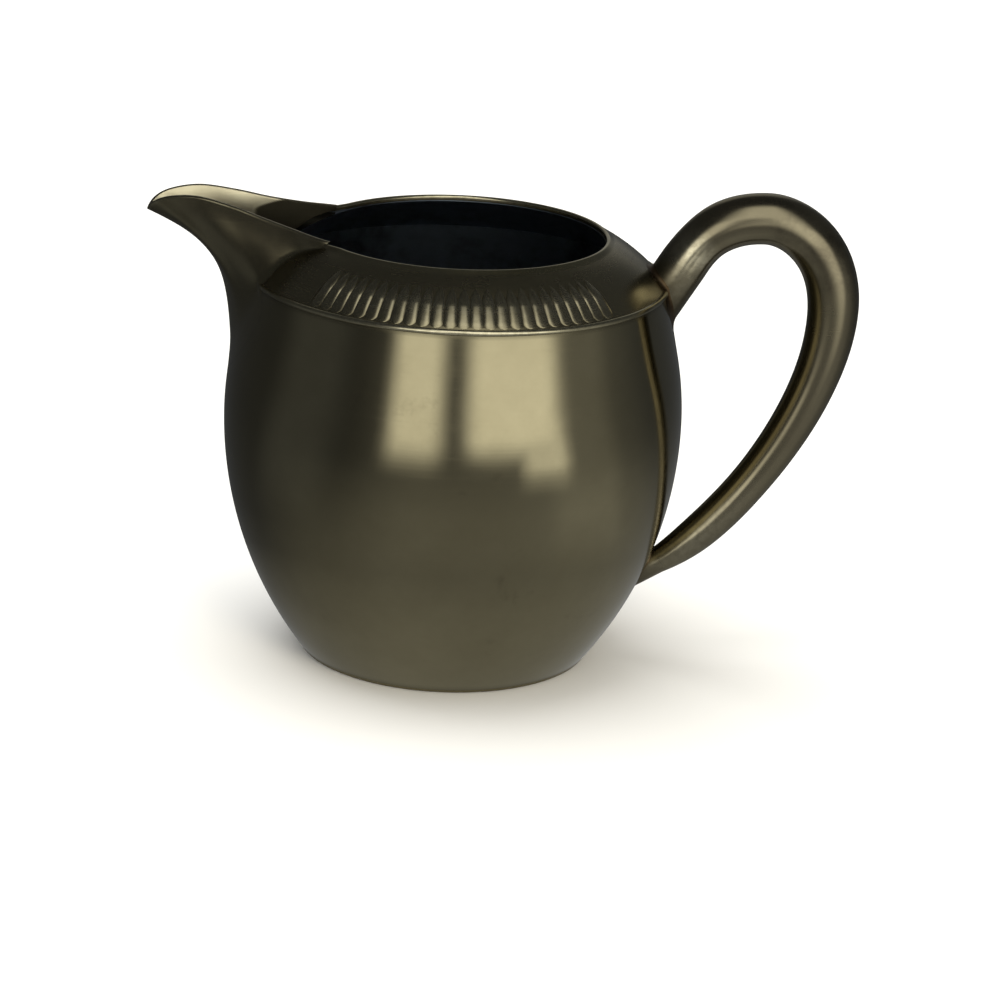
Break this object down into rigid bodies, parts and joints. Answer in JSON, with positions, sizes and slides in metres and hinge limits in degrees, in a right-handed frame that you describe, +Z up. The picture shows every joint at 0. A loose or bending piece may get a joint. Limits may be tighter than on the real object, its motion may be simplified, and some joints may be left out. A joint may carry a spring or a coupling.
{
  "type": "creamer jug",
  "caption": "Small bellied silver creamer with a reeded shoulder, wired mouth, tall open spout and hollow loop handle, standing on a flat base.",
  "frame": {"origin": "centre of the flat base's underside", "axes": "+Z up through the mouth, +X towards the handle, -X towards the spout"},
  "size_m": [0.1359, 0.088, 0.0929],
  "materials": {
    "silver_body": "polished",
    "silver_wire": "polished",
    "silver_handle": "polished",
    "silver_solder": "satin"
  },
  "bodies": {
    "root": {"base_plate": "silver_body", "barrel": "silver_body", "shoulder": "silver_body", "joint_wire": "silver_wire", "rim_wire": "silver_wire", "spout": "silver_body", "handle_front": "silver_handle", "handle_back": "silver_handle", "handle_upper_solder": "silver_solder", "handle_lower_solder": "silver_solder"}
  },
  "joints": []
}
